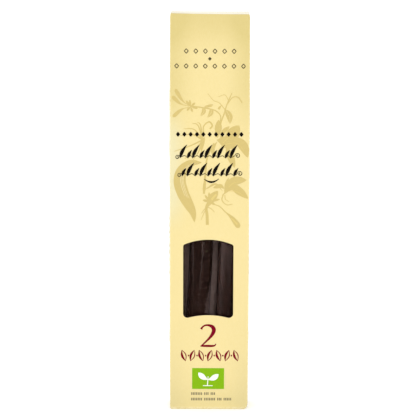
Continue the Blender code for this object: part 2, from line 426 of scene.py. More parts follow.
def rounded_path(corners, radii, arc_steps=6):
    """Points along a line whose corners become arcs of the given radii, tangent to both sides."""
    corners = np.array(corners, float)
    points = [corners[0]]
    for before, corner, after, radius in zip(corners, corners[1:], corners[2:], radii):
        into = (corner - before) / np.linalg.norm(corner - before)
        out = (after - corner) / np.linalg.norm(after - corner)
        turn = math.acos(np.clip(into @ out, -1.0, 1.0))
        inset = radius * math.tan(turn / 2)
        side = out - into * (into @ out)
        side /= np.linalg.norm(side)
        angle = np.linspace(0.0, turn, arc_steps + 1)[:, None]
        start = corner - into * inset
        points.extend(start + radius * (np.sin(angle) * into + (1 - np.cos(angle)) * side))
    points.append(corners[-1])
    points = np.array(points)
    apart = np.linalg.norm(np.diff(points, axis=0), axis=1) > 1e-7
    return points[np.concatenate([[True], apart])]


def fill_path(points, longest):
    """A path with extra points, so that no step is longer than a length."""
    steps = np.linalg.norm(np.diff(points, axis=0), axis=1)
    parts = []
    for start, end, step in zip(points, points[1:], steps):
        pieces = max(1, math.ceil(step / longest))
        share = np.linspace(0.0, 1.0, pieces, endpoint=False)[:, None]
        parts.append(start + (end - start) * share)
    return np.concatenate([*parts, points[-1:]])


def end_drop(x, top):
    """How far the card's end lies inside the box's end at x: a round bend near each side, else 0."""
    right = RIGHT_TOP_BEND if top else RIGHT_FOOT_BEND
    radius = np.where(x > 0, right, LEFT_BEND)
    into = np.clip(np.abs(x) - (HALF_WIDTH - radius), 0.0, radius)
    return radius - np.sqrt(radius**2 - into**2)


TOP_LIFT = 0.00015  # the whole top stands this much proud
CORNER_LIFT = 0.00033  # and its front left corner this much more
LIFTED = 0.03  # the length at the top over which the lift comes in


def lift_corner(points):
    """Lifts the top's front left corner a little, as on a carton that was shut by hand.

    The lift grows with the square of the way from the right end to the left, and
    from the back to the front.
    """
    x, y, z = (points[..., axis] for axis in range(3))
    to_left = (HALF_WIDTH - x) / (2 * HALF_WIDTH)
    to_front = np.clip((FLAT_Y - y) / (2 * FLAT_Y), 0.0, 1.0)
    lift = TOP_LIFT + CORNER_LIFT * to_left**2 * to_front
    points[..., 2] = z + lift * soft_step(z, HEIGHT - LIFTED, HEIGHT)
    return points


def up_the_height(z):
    """1 over most of the height, falling to 0 at both ends with the fourth power of the way."""
    return 1.0 - np.clip(2.0 * z / HEIGHT - 1.0, -1.0, 1.0) ** 4


def panel_bulge(x, z):
    """How far the front or back stands out of the plane of its folds: a shallow, flat-edged pillow."""
    across = 1.0 - np.clip(x / (HALF_WIDTH - FOLD), -1.0, 1.0) ** 2
    return BULGE * across * up_the_height(z)


def side_bulge(y, z):
    """How far a side panel bows out at mid-height, folds and all, and a little more in its middle."""
    across = 1.0 - np.clip(y / (FLAT_Y - FOLD), -1.0, 1.0) ** 2
    return (SIDE_BOW + SIDE_BULGE * across) * up_the_height(z)


# %% [markdown]
# ## The window
#
# The window is an upright banner. Its straight sides meet two arches that both
# curve upwards, in small round corners. To cut it without a Boolean, a block of
# the front's grid is left out, and the points round that block are slid onto the
# outline. The slide fades with distance, so the rest of the grid stays even and
# the board keeps clean four-sided faces up to the cut edge.

# %% The window's outline, from the film that covers it
FILM_MARGIN = 0.00335  # the film reaches this far past the window at its foot
SIDE_MARGIN = FILM_MARGIN - 0.00002  # at its sides
HEAD_MARGIN = FILM_MARGIN + 0.0001  # and at its head
OFF_CENTRE = -0.00011  # the window lies this far to one side of the film's middle
WINDOW_X = (film_low.x + film_high.x) / 2 + OFF_CENTRE
WINDOW_HALF = (film_high.x - film_low.x) / 2 - SIDE_MARGIN
WINDOW_FOOT = film_low.z + FILM_MARGIN
WINDOW_HEAD = film_high.z - HEAD_MARGIN
HEAD_ARCH = 0.0262  # radii of the two arches, and of the corners that they end in
FOOT_ARCH = 0.033
HEAD_CORNER = 0.0012
FOOT_CORNER = 0.0019
SLIDE_X = 0.0050  # the slide onto the outline fades out this far beside the window
SLIDE_Z = 0.0130  # and this far above and below it


def arch_corner(arch, crown, corner, hollow):
    """Where a corner arc's centre lies, and the angle at which it meets its arch."""
    reach = arch + corner if hollow else arch - corner
    angle = math.acos((WINDOW_HALF - corner) / reach)
    return crown - arch + reach * math.sin(angle), angle


HEAD_CORNER_Z, HEAD_ANGLE = arch_corner(HEAD_ARCH, WINDOW_HEAD, HEAD_CORNER, hollow=False)
FOOT_CORNER_Z, FOOT_ANGLE = arch_corner(FOOT_ARCH, WINDOW_FOOT, FOOT_CORNER, hollow=True)
HEAD_EDGE = HEAD_CORNER_Z + HEAD_CORNER  # the left-out block's upper and lower rows
FOOT_EDGE = FOOT_CORNER_Z - FOOT_CORNER


def window_edge(x, z):
    """Slides a point on the block's edge onto the window's outline.

    Points on the upper and lower rows go to the arch, and past its end to the half
    of the corner arc next to it. Points on the sides stay, and near a corner go to
    that arc's other half.
    """
    across = x - WINDOW_X
    side = np.sign(across)
    new_x, new_z = across.copy(), z.copy()
    head = (1.0, HEAD_ARCH, WINDOW_HEAD, HEAD_CORNER, HEAD_CORNER_Z, HEAD_ANGLE, HEAD_EDGE)
    foot = (-1.0, FOOT_ARCH, WINDOW_FOOT, FOOT_CORNER, FOOT_CORNER_Z, math.pi - FOOT_ANGLE, FOOT_EDGE)
    for up, arch, crown, corner, corner_z, turn, edge in (head, foot):
        inner = WINDOW_HALF - corner
        on_row = np.isclose(z, edge)
        touch = inner + corner * math.cos(turn)
        on_arch = on_row & (np.abs(across) <= touch)
        new_z[on_arch] = crown - arch + np.sqrt(arch**2 - across[on_arch] ** 2)
        past = np.clip((np.abs(across) - touch) / (WINDOW_HALF - touch), 0.0, 1.0)
        near = np.clip((z - corner_z) * up / corner, 0.0, 1.0)
        bend = np.where(on_row, turn - past * turn / 2, near * turn / 2)
        on_arc = (on_row & (np.abs(across) > touch)) | (~on_row & (near > 0))
        new_x[on_arc] = (side * (inner + corner * np.cos(bend)))[on_arc]
        new_z[on_arc] = (corner_z + up * corner * np.sin(bend))[on_arc]
    return WINDOW_X + new_x, new_z


def spaced(*stops):
    """Places along a line from the first stop on: the others are where a stretch ends, and its steps."""
    start = stops[0]
    places = [np.array([start])]
    for end, steps in stops[1:]:
        places.append(np.linspace(start, end, steps + 1)[1:])
        start = end
    return np.concatenate(places)


# %% The sleeve's columns and rows
left_window, right_window = WINDOW_X - WINDOW_HALF, WINDOW_X + WINDOW_HALF
front_columns = spaced(
    -(HALF_WIDTH - FOLD),
    (left_window, 9),
    (left_window + FOOT_CORNER, 8),
    (right_window - FOOT_CORNER, 34),
    (right_window, 8),
    (HALF_WIDTH - FOLD, 9),
)
rows = spaced(
    0.0,
    (DIE_ZONE, 12),
    (FOOT_EDGE, 26),
    (FOOT_CORNER_Z, 7),
    (HEAD_CORNER_Z, 22),
    (HEAD_EDGE, 6),
    (HEIGHT - DIE_ZONE, 60),
    (HEIGHT, 12),
)
GLUE_FLAP = 0.010  # width of the glue flap
FLAP_FOLD = 0.0005  # outer radius of its fold
SEAM = 0.0002  # the back's cut edge stops this far short of the fold
glue_flap_y = FLAT_Y - BOARD - GAP
before_front = rounded_path(
    [
        (-HALF_WIDTH + GLUE_FLAP, glue_flap_y),
        (-HALF_WIDTH, glue_flap_y),
        (-HALF_WIDTH, -FLAT_Y),
        (0.0, -FLAT_Y),
    ],
    [FLAP_FOLD, FOLD],
)
after_front = rounded_path(
    [
        (0.0, -FLAT_Y),
        (HALF_WIDTH, -FLAT_Y),
        (HALF_WIDTH, FLAT_Y),
        (-HALF_WIDTH + SEAM, FLAT_Y),
    ],
    [FOLD, FOLD],
)
left_part = fill_path(before_front[:-1], PATH_STEP)[:-1]
front_part = np.stack([front_columns, np.full_like(front_columns, -FLAT_Y)], axis=1)
right_part = fill_path(after_front[1:], PATH_STEP)[1:]
outline = np.concatenate([left_part, front_part, right_part])
first_front = len(left_part)
front_range = slice(first_front, first_front + len(front_columns))


def sleeve_points():
    """The outline carried up: x and y from the path, z from the rows, squeezed to the die line."""
    along = np.gradient(outline, axis=0)
    along /= np.linalg.norm(along, axis=1)[:, None]
    x = outline[:, 0]
    front_share = (outline[:, 1] < 0) * along[:, 0] ** 2
    back_share = (outline[:, 1] > 0) * along[:, 0] ** 2
    side_share = 1.0 - front_share - back_share

    def inset(top, hinged, tucked):
        bend = end_drop(np.sign(x) * HALF_WIDTH, top)
        return (
            side_share * (bend + BOARD + GAP)
            + hinged * (end_drop(x, top) + HINGE)
            + tucked * CUT_EDGE
        )

    top_inset = inset(True, back_share, front_share)
    foot_inset = inset(False, front_share, back_share)
    height = rows[:, None]
    z = (
        height
        + foot_inset * (1.0 - height / DIE_ZONE).clip(0.0, 1.0)
        - top_inset * (1.0 - (HEIGHT - height) / DIE_ZONE).clip(0.0, 1.0)
    )
    points = np.empty((len(rows), len(outline), 3))
    points[..., 0] = x
    points[..., 1] = outline[:, 1]
    points[..., 2] = z
    return points


def nearest(places, wanted):
    """The number of the place that lies nearest to a wanted one."""
    return int(np.argmin(np.abs(places - wanted)))


def slide_to_window(points):
    """Moves the front's points with the nearest one of the left-out block, less and less with distance.

    It also gives which quads are kept, which is all but that block.
    """
    front = points[:, front_range]
    x, z = front[..., 0].copy(), front[..., 2].copy()
    first, last = nearest(front_columns, left_window), nearest(front_columns, right_window)
    low, high = nearest(rows, FOOT_EDGE), nearest(rows, HEAD_EDGE)
    row = np.clip(np.arange(len(rows)), low, high)[:, None]
    column = np.clip(np.arange(len(front_columns)), first, last)[None, :]
    edge_x, edge_z = front_columns[column] + 0.0 * row, rows[row] + 0.0 * column
    new_x, new_z = window_edge(edge_x, edge_z)
    away = np.hypot((x - edge_x) / SLIDE_X, (z - edge_z) / SLIDE_Z)
    share = 1.0 - soft_step(away, 0.0, 1.0)
    front[..., 0] = x + share * (new_x - edge_x)
    front[..., 2] = z + share * (new_z - edge_z)
    kept = np.ones((len(rows) - 1, len(outline) - 1), bool)
    kept[low:high, first_front + first : first_front + last] = False
    return points, kept


sleeve, sleeve_kept = slide_to_window(sleeve_points())
faces_out = np.sign(outline[:, 1])
on_panel = (np.abs(np.abs(outline[:, 1]) - FLAT_Y) < 1e-6)[None, :]
sleeve[..., 1] += np.where(on_panel, faces_out * panel_bulge(sleeve[..., 0], sleeve[..., 2]), 0.0)
near_a_side = soft_step(np.abs(outline[:, 0]), 0.6 * HALF_WIDTH, HALF_WIDTH - FOLD)
sleeve[..., 0] += np.sign(outline[:, 0]) * near_a_side * side_bulge(outline[:, 1], sleeve[..., 2])
carton_sleeve = new_object(
    "carton_sleeve",
    lift_corner(sleeve),
    grid_faces(len(rows), len(outline), kept=sleeve_kept),
    CARD_FINISHES,
)
thicken(carton_sleeve, BOARD, inner_finish=1)
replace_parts(carton_sleeve, "carton")

# %% [markdown]
# ## Closures and dust flaps
#
# Each end shuts the same way. Two short dust flaps bend in from the side panels,
# and a closure panel bends over them from its hinge and tucks in behind the
# opposite panel. The top closure is hinged at the back and the bottom one at the
# front, which is called a reverse tuck. Half a turn about X takes one into the
# other, so one function makes both.

# %% Closures
TUCK = 0.011  # how far the tuck flap reaches in
TUCK_BEND = 0.0008  # outer radius of the bend into it
TUCK_TAPER = 0.0016  # how much narrower it is at its edge, on each side
TAPER_START = 0.002  # how far down it begins to narrow
SAG = 0.00006  # how far the middle of a closure sinks
SIDE_PLAY = 0.00025  # a closure is this much narrower than the carton at each side
INSIDE = 0.00002  # how far its first row lies under the panel's face
DUST_FLAP = 0.0105  # how far a dust flap reaches in
DUST_DROOP = 0.0004  # how far its free edge hangs
DUST_TAPER = 0.0012  # how far its free corners are cut back
DUST_PLAY = 0.0003  # how far it stops short of the tuck flap


def turn_over(points):
    """Half a turn about X through the carton's middle."""
    turned = points.copy()
    turned[..., 1] = -points[..., 1]
    turned[..., 2] = HEIGHT - points[..., 2]
    return turned


def closure(name, top):
    """A bent strip: up from the hinge, across the end, and down behind the other panel.

    The strip's path lies in the Y-Z plane and is carried along X. Its ends follow
    the end bends, its middle sags, and its tuck flap narrows towards its edge.
    """
    tuck_y = -FLAT_Y + BOARD + FLUSH
    path = rounded_path(
        [
            (FLAT_Y - INSIDE, HEIGHT - HINGE - LAP),
            (FLAT_Y - INSIDE, HEIGHT),
            (tuck_y, HEIGHT),
            (tuck_y, HEIGHT - TUCK),
        ],
        [HINGE - INSIDE, TUCK_BEND],
        arc_steps=7,
    )
    path = fill_path(path, FLAP_STEP)
    across = np.linspace(-1.0, 1.0, 61)
    tucked = soft_step(HEIGHT - path[:, 1], TAPER_START, TUCK) * (path[:, 0] < 0)
    reach = (HALF_WIDTH - SIDE_PLAY - TUCK_TAPER * tucked)[:, None]
    points = np.empty((len(path), len(across), 3))
    points[..., 0] = across * reach
    points[..., 1] = path[:, :1]
    x = points[..., 0]
    flat = soft_step(path[:, 1], HEIGHT - 0.0012, HEIGHT)[:, None]
    middle = (1.0 - across**2) * np.cos(0.5 * math.pi * np.clip(path[:, :1] / FLAT_Y, -1.0, 1.0))
    points[..., 2] = path[:, 1:] - end_drop(x, top) - SAG * middle * flat
    points = lift_corner(points) if top else turn_over(points)
    made = new_object(name, points, grid_faces(len(path), len(across), flip=True), CARD_FINISHES)
    return thicken(made, BOARD, inner_finish=1)


def dust_flap(name, side, top):
    """A flap that bends in from a side panel: its path lies in the X-Z plane and is carried along Y.

    It stops short of the tuck flap at one edge, droops inwards, and its free
    corners are cut back.
    """
    bend = LEFT_BEND if side < 0 else (RIGHT_TOP_BEND if top else RIGHT_FOOT_BEND)
    level = HEIGHT - BOARD - GAP
    path = rounded_path(
        [
            (HALF_WIDTH - INSIDE, level - bend - LAP),
            (HALF_WIDTH - INSIDE, level),
            (HALF_WIDTH - DUST_FLAP, level - DUST_DROOP),
        ],
        [0.95 * bend],
        arc_steps=8,
    )
    path = fill_path(path, FLAP_STEP)
    along = (HALF_WIDTH - path[:, 0]) / DUST_FLAP
    cut_back = DUST_TAPER * soft_step(along, 0.25, 1.0)
    hinge_edge = FLAT_Y - FOLD - cut_back
    tuck_edge = -FLAT_Y + 2 * BOARD + DUST_PLAY + cut_back
    across = np.linspace(0.0, 1.0, 15)
    points = np.empty((len(path), len(across), 3))
    points[..., 0] = side * path[:, :1]
    points[..., 1] = tuck_edge[:, None] + across * (hinge_edge - tuck_edge)[:, None]
    points[..., 2] = path[:, 1:]
    points = lift_corner(points) if top else turn_over(points)
    made = new_object(
        name, points, grid_faces(len(path), len(across), flip=side < 0), CARD_FINISHES
    )
    return thicken(made, BOARD, inner_finish=1)


for end_name, is_top in (("top", True), ("foot", False)):
    closure(f"{end_name}_closure", is_top)
    dust_flap(f"{end_name}_dust_flap_left", -1.0, is_top)
    dust_flap(f"{end_name}_dust_flap_right", 1.0, is_top)

# %% [markdown]
# ## Ink
#
# Print is colour without height, yet a flat decal that lies exactly on the board
# would flicker. So each printed shape is a slab of ink a few hundredths of a
# millimetre thick that follows the panel's bulge. All shapes, from a leaf to a
# bar, are the same thing: a band between two offsets from a smooth line. A leaf is
# a band that is widest in its middle, a pod one with round ends, and a pen stroke
# one whose width is given at its stops.

# %% Ink finishes
INK_THICKNESS = 0.00004
INK_ROOT = 0.00003  # a slab reaches this far below its panel's face
SHAPE_LIFT = 4e-7  # each shape lies this much higher than the one before it
SHAPE_TURNS = 95  # the lifts start again from the bottom after this many shapes


def ink(name, colour, wear):
    """Matt ink, a little uneven: wear is how far the yellow under it shows in its thin spots."""
    flood = Finish(name)
    cloud = flood.noise(900.0, 3.0, 0.65)
    thin = tuple((1.0 - wear) * c + wear * y for c, y in zip(colour, YELLOW[:3]))
    return flood.principled(
        Base_Color=flood.mix(cloud.step(0.45, 0.85) * 0.5, (*colour, 1.0), (*thin, 1.0)),
        Roughness=0.50 + cloud * 0.1,
        Specular_IOR_Level=0.02,
        Normal=flood.bump(flood.noise(1500.0, 4.0, 0.7), 0.00002),
    )


VINE_INK = ink("vine_ink", (0.590, 0.462, 0.172), 0.12)
VINE_LIGHT_INK = ink("vine_light_ink", (0.67, 0.53, 0.190), 0.12)
BLACK_INK = ink("black_ink", (0.004, 0.003, 0.003), 0.03)
UMBER_INK = ink("umber_ink", (0.080, 0.066, 0.032), 0.12)
GREY_INK = ink("grey_ink", (0.185, 0.160, 0.095), 0.22)
RED_INK = ink("red_ink", (0.185, 0.002, 0.014), 0.05)
GREEN_INK = ink("green_ink", (0.215, 0.430, 0.009), 0.03)
WHITE_INK = ink("white_ink", (0.86, 0.86, 0.82), 0.05)


# %% Bands, and the panels they lie on
def smooth_line(stops, count):
    """A Catmull-Rom line through points in millimetres, evenly sampled from the first to the last."""
    stops = np.array(stops, float)
    ends = np.concatenate([[2 * stops[0] - stops[1]], stops, [2 * stops[-1] - stops[-2]]])
    where = np.linspace(0.0, len(stops) - 1.0, count)
    piece = np.minimum(where.astype(int), len(stops) - 2)
    share = (where - piece)[:, None]
    a, b, c, d = (ends[piece + k] for k in range(4))
    return 0.5 * (
        2 * b
        + (c - a) * share
        + (2 * a - 5 * b + 4 * c - d) * share**2
        + (3 * b - a - 3 * c + d) * share**3
    )


def band(line, inner, outer, across=3):
    """A grid between two offsets to the left of a line, in millimetres: from inner to outer."""
    along = np.gradient(line, axis=0)
    along /= np.linalg.norm(along, axis=1)[:, None] + 1e-12
    left = np.stack([-along[:, 1], along[:, 0]], axis=1)
    share = np.linspace(0.0, 1.0, across)[None, :, None]
    inner = np.broadcast_to(inner, len(line))[:, None, None]
    outer = np.broadcast_to(outer, len(line))[:, None, None]
    return line[:, None, :] + left[:, None, :] * (inner + (outer - inner) * share)


def on_front(x, z, lift):
    """The front panel, seen face on."""
    return x, -FLAT_Y - panel_bulge(x, z) - lift, z


def on_back(x, z, lift):
    """The back panel, seen face on: x runs the other way."""
    return -x, FLAT_Y + panel_bulge(x, z) + lift, z


def on_left(x, z, lift):
    """The left side panel, seen face on."""
    return -HALF_WIDTH - side_bulge(x, z) - lift, -x, z


def on_right(x, z, lift):
    """The right side panel, seen face on."""
    return HALF_WIDTH + side_bulge(x, z) + lift, x, z


def print_shapes(name, shapes, finish, panel=on_front, layer=0):
    """Joins bands into one slab of ink on a panel.

    Each band lies a little higher than the one before it, so shapes that cross
    never share a plane.
    """
    points, faces, start = [], [], 0
    for order, shape in enumerate(shapes):
        deep, wide = shape.shape[:2]
        lift = INK_THICKNESS * (1 + layer) + SHAPE_LIFT * (order % SHAPE_TURNS)
        x, z = shape[..., 0] * MM, shape[..., 1] * MM
        place = np.stack(np.broadcast_arrays(*panel(x, z, lift)), axis=-1)
        points.append(lift_corner(place).reshape(-1, 3))
        faces.append(grid_faces(deep, wide, flip=True) + start)
        start += deep * wide
    made = new_object(name, np.concatenate(points), np.concatenate(faces), [finish])
    return thicken(made, INK_THICKNESS * (1 + layer) + INK_ROOT, even=False)


# %% [markdown]
# ## Shapes to print
#
# A few kinds of shape draw everything. Most widths come from formulas: the sine
# of the share of the way for a leaf and the height of a circle for a round end. A
# pen stroke takes its width from its stops.


# %% Leaves, stems, pods, brush strokes and bars
HAIR = 0.02  # half the width, in millimetres, that a shape keeps at its points


def share_along(count):
    """How far along the line each of its points is, from 0 to 1."""
    return np.linspace(0.0, 1.0, count)


def stem(stops, start, end, count=36):
    """A band whose width goes from start to end."""
    half = 0.5 * (start + (end - start) * share_along(count))
    return [band(smooth_line(stops, count), -half, half)]


def leaf(stops, width, veins=1, blunt=0.8, count=34):
    """A leaf: two halves, each half cut lengthwise into as many strips as it has veins."""
    line = smooth_line(stops, count)
    half = 0.5 * width * np.sin(math.pi * share_along(count) ** blunt) ** 0.85 + HAIR
    gap = min(0.09, width / 20)
    made = []
    for side in (-1.0, 1.0):
        for strip in range(veins):
            inner = half * strip / veins + gap
            outer = np.maximum(half * (strip + 1) / veins - HAIR, inner + 0.01)
            low, high = (inner, outer) if side > 0 else (-outer, -inner)
            made.append(band(line, low, high))
    return made


def petal(stops, width, count=26):
    """A petal: one band, narrow at its foot and widest past its middle."""
    half = 0.5 * width * np.sin(math.pi * share_along(count) ** 1.35) ** 0.8 + 0.04
    return [band(smooth_line(stops, count), -half, half, across=4)]


def pod_shape(stops, width, count=36, neck=0.3):
    """A pod or bud: a thin neck for a share of its length, which swells into a club with a round end."""
    share = share_along(count)
    swell = 0.15 + 0.85 * soft_step(share, neck, 0.84)
    round_end = np.sqrt(np.clip(1.0 - ((share - 0.86) / 0.14).clip(0.0, 1.0) ** 2, 0.0, 1.0))
    half = 0.5 * width * swell * round_end + HAIR
    return [band(smooth_line(stops, count), -half, half)]


def stroke(stops, count=40):
    """A pen stroke from stops of x, z and width, with a smooth line and width between the stops."""
    stops = np.array(stops, float)
    line = smooth_line(stops[:, :2], count)
    width = smooth_line(np.stack([stops[:, 2], 0.0 * stops[:, 2]], axis=1), count)[:, 0]
    half = 0.5 * np.maximum(width, 0.12)
    return [band(line, -half, half)]


def pointed_leaf(x, z, length, width, lean, thick=0.42, thin=0.16):
    """A leaf in outline about its middle: a thick crescent on its left, a fine line on its right.

    Both edges are half sine waves off an axis that leans sideways by lean over the leaf's length.
    """
    share = share_along(26)
    line = np.stack([x + lean * (share - 0.5), z + length * (share - 0.5)], axis=1)
    half = 0.5 * width * np.sin(math.pi * share) + 0.03
    fine = 0.02 + thin * np.sin(math.pi * share) ** 0.5
    bold = 0.02 + thick * width * np.sin(math.pi * share) ** 0.8
    return [band(line, np.maximum(half - bold, -half), half), band(line, -half, -half + fine)]


def bar(x, z, width, height):
    """A plain upright bar about its middle."""
    line = np.array([[x, z - height / 2], [x, z], [x, z + height / 2]])
    shape = np.repeat(line[:, None, :], 3, axis=1)
    shape[..., 0] -= np.linspace(-width / 2, width / 2, 3)
    return [shape]


def lozenge(x, z, width, height, line_width=None):
    """A diamond: solid, or drawn with a line of a given width."""
    if line_width is None:
        share = share_along(17)
        half = 0.5 * width * (1.0 - np.abs(2.0 * share - 1.0)) ** 0.8 + 0.015
        line = np.stack([np.full(17, x), z + height * (share - 0.5)], axis=1)
        return [band(line, -half, half)]
    corners = [(x + width / 2, z), (x, z + height / 2), (x - width / 2, z), (x, z - height / 2)]
    corners.append(corners[0])
    return [
        band(np.linspace(start, end, 5), -line_width / 2, line_width / 2)
        for start, end in zip(corners, corners[1:])
    ]


# %% [markdown]
# ## The vine
#
# Tone on tone, a vanilla vine climbs the upper front: a stem, one great strap leaf
# with its parallel veins, orchid blossoms, buds in a fan, fine tendrils and a
# hanging pod. It is a loose drawing made for this carton from the shapes above.

# %% Draw the vine
def stems(*rows):
    """Several stems: each row is its stops, and its width at either end."""
    return [shape for stops, start, end in rows for shape in stem(stops, start, end)]


def petals(*rows):
    """Several petals: each row is its stops and its width."""
    return [shape for stops, width in rows for shape in petal(stops, width)]


def climbing_stem():
    """The main stem in three stretches, and the side stems and tendrils at its head."""
    return stems(
        ([(-0.9, 82.4), (-1.0, 86.5), (-1.3, 90.0), (0.2, 93.5)], 1.30, 1.05),
        ([(-2.4, 96.0), (-2.1, 101.0), (-1.5, 108.0), (-0.9, 112.0), (1.8, 118.0)], 0.90, 0.50),
        ([(3.4, 121.0), (4.6, 126.4), (6.1, 130.6), (7.3, 134.6), (9.4, 139.6)], 0.70, 0.34),
        ([(4.5, 127.4), (4.5, 130.0), (2.0, 132.2), (-3.2, 133.3), (-8.2, 133.9)], 0.40, 0.55),
        ([(6.4, 132.6), (4.0, 135.4), (1.6, 136.4), (-0.9, 139.4)], 0.34, 0.18),
        ([(7.3, 134.6), (9.6, 137.6), (12.0, 137.8), (13.8, 135.4)], 0.36, 0.46),
        ([(8.0, 136.4), (6.4, 138.8), (3.7, 138.0)], 0.30, 0.20),
    )


def bud_fan():
    """Long buds that fan out to the left, a ring of short petals round their foot, and small leaves."""
    made = []
    for bud in (
        [(-8.4, 134.0), (-11.6, 136.2), (-14.8, 141.2)],
        [(-8.8, 133.9), (-12.6, 135.0), (-16.1, 138.2)],
        [(-8.5, 133.4), (-11.8, 132.6), (-15.8, 129.2)],
    ):
        made += pod_shape(bud, 1.55)
    made += pod_shape([(5.4, 134.4), (4.6, 133.9), (3.7, 132.6)], 0.95)
    for x, z in (
        (-10.2, 136.3), (-8.6, 136.6), (-6.2, 135.4), (-5.2, 132.9), (-7.4, 131.4), (-9.8, 131.9)
    ):
        made += petal([(-8.2, 133.8), ((x - 8.2) / 2, (z + 133.8) / 2), (x, z)], 0.8)
    for root, tip, width in (
        ((-2.6, 133.4), (-4.0, 129.6), 1.7),
        ((0.6, 132.8), (-1.0, 129.1), 1.9),
        ((-2.5, 133.6), (1.5, 134.7), 1.1),
        ((6.9, 132.4), (8.6, 126.4), 2.6),
    ):
        middle = ((root[0] + tip[0]) / 2 + 0.7, (root[1] + tip[1]) / 2)
        made += leaf([root, middle, tip], width)
    return made


def great_blossom():
    """The open orchid in the middle, the spidery flower on its left, a tendril and a hanging pod."""
    made = petals(
        ([(3.2, 120.2), (3.6, 123.6), (3.8, 128.0)], 2.9),
        ([(3.0, 119.4), (6.6, 118.6), (11.6, 116.4)], 5.0),
        ([(6.2, 117.2), (9.2, 121.0), (12.6, 125.6)], 5.3),
        ([(7.8, 118.8), (11.8, 119.0), (14.6, 116.4), (16.4, 111.8)], 3.9),
        ([(4.4, 119.4), (5.8, 122.8), (8.4, 125.2)], 1.7),
        ([(6.8, 117.0), (8.6, 113.0), (10.8, 107.4)], 2.9),
        ([(3.2, 118.6), (1.4, 115.6), (1.8, 112.2)], 1.5),
    )
    x, z = -2.9, 119.6
    for reach, rise in (
        (-8.2, 4.6), (-9.6, 1.6), (-12.2, -5.2), (-7.8, -8.4), (-4.2, -8.9), (-2.4, 7.4), (-4.6, 7.0)
    ):
        bow = (x + 0.45 * reach, z + 0.72 * rise + 0.9)
        made += stem([(-3.0, 119.4), bow, (x + reach, z + rise)], 0.66, 0.16)
    made += petal([(-3.6, 113.6), (-3.2, 117.0), (-2.2, 120.6)], 1.3)
    made += stem([(-2.6, 121.5), (-2.6, 125.2), (-0.3, 127.2), (1.1, 125.6), (0.1, 124.2)], 0.42, 0.70)
    made += pod_shape([(-1.6, 110.0), (-1.9, 103.0), (-2.4, 96.6)], 1.25)
    return made


def great_leaf():
    """The strap leaf at the lower left: one solid half, and the other cut by veins into strips."""
    count, tip_count = 80, 34
    line = smooth_line(
        [
            (-3.6, 109.6), (-8.0, 109.2), (-11.8, 106.0), (-12.8, 101.4),
            (-11.4, 96.2), (-9.0, 91.4), (-7.1, 87.6), (-6.4, 83.6),
        ],
        count,
    )
    half = 2.62 * np.sin(math.pi * share_along(count) ** 0.95) ** 0.75 + HAIR
    made = [band(line, -half, 0.10 * half)]
    for inner, outer in ((0.22, 0.34), (0.46, 0.56), (0.66, 0.98)):
        made.append(band(line, inner * half, outer * half))
    filled = half[-tip_count:] * soft_step(share_along(tip_count), 0.0, 0.3)
    made.append(band(line[-tip_count:], 0.0, filled))
    return made


def low_blossom():
    """The side flower at the lower right, the flower on the stem, and the pod that hangs from it."""
    made = petals(
        ([(6.2, 96.0), (8.6, 100.4), (11.8, 101.8), (15.8, 102.0)], 3.5),
        ([(5.6, 95.4), (9.6, 98.8), (13.0, 97.0), (16.6, 93.9)], 3.3),
        ([(6.4, 96.8), (7.0, 100.4), (8.3, 103.0)], 0.7),
        ([(5.6, 97.2), (2.6, 100.2), (-1.6, 98.0)], 0.7),
        ([(6.4, 98.2), (4.6, 99.4), (1.6, 98.6)], 1.7),
    )
    made += stems(
        ([(5.9, 95.8), (5.4, 93.2), (7.4, 91.2), (9.9, 91.5)], 0.50, 0.20),
        ([(6.6, 95.4), (6.9, 93.6), (8.4, 92.6)], 0.34, 0.16),
    )
    made += petal([(-0.9, 90.0), (0.6, 93.4), (3.6, 97.2)], 3.3)
    for x, z in ((-2.9, 93.2), (-2.0, 95.4), (-0.2, 96.6), (4.4, 93.6), (2.4, 91.2)):
        made += petal([(0.0, 92.4), (x / 2, (z + 92.6) / 2), (x, z)], 0.9)
    made += stem([(1.3, 91.6), (4.4, 90.4), (7.0, 87.9)], 0.30, 0.40)
    made += pod_shape([(6.0, 88.8), (9.6, 85.6), (13.0, 81.2)], 2.3, neck=0.1)
    for x, z in ((-3.6, 84.6), (-3.4, 87.4), (2.2, 88.0)):
        made += stem([(-0.9, 90.2), ((x - 0.9) / 2, (z + 91.0) / 2), (x, z)], 0.34, 0.22)
    return made


vine = climbing_stem() + bud_fan() + great_blossom() + great_leaf() + low_blossom()
print_shapes("vine_print", vine, VINE_INK)

highlights = stems(
    ([(5.6, 118.0), (8.8, 121.4), (11.4, 123.6)], 0.24, 0.14),
    ([(7.0, 117.6), (11.6, 118.0), (14.6, 114.8)], 0.24, 0.14),
    ([(8.2, 98.9), (10.6, 100.8), (14.0, 101.4)], 0.22, 0.12),
    ([(8.2, 97.2), (11.6, 97.0), (15.0, 94.8)], 0.22, 0.12),
    ([(0.9, 93.4), (2.0, 94.8), (3.0, 95.8)], 1.0, 0.8),
    ([(9.4, 85.4), (10.8, 84.0), (12.0, 82.6)], 0.35, 0.7),
)
print_shapes("vine_highlights", highlights, VINE_LIGHT_INK, layer=1)

# %% [markdown]
# ## Lines of ornament
#
# Where a real carton carries words, this one carries plain ornament: rows of small
# outlined lozenges, a row of filled ones, two scrolls of slanted brush leaves, a
# garland of slim leaves, and rows of grey ticks for the small print. Nothing in
# them spells a word. The one mark that says something is the count of pods.


# %% Rows of marks
def row_of(count, left, right):
    """The middles of marks spread evenly between two edges, in millimetres."""
    pitch = (right - left) / count
    return left + pitch * (np.arange(count) + 0.5)


def lozenge_row(count, left, right, z, width, height, line_width=None):
    """A row of like lozenges spread evenly between two edges."""
    made = []
    for x in row_of(count, left, right):
        made += lozenge(x, z, width, height, line_width)
    return made


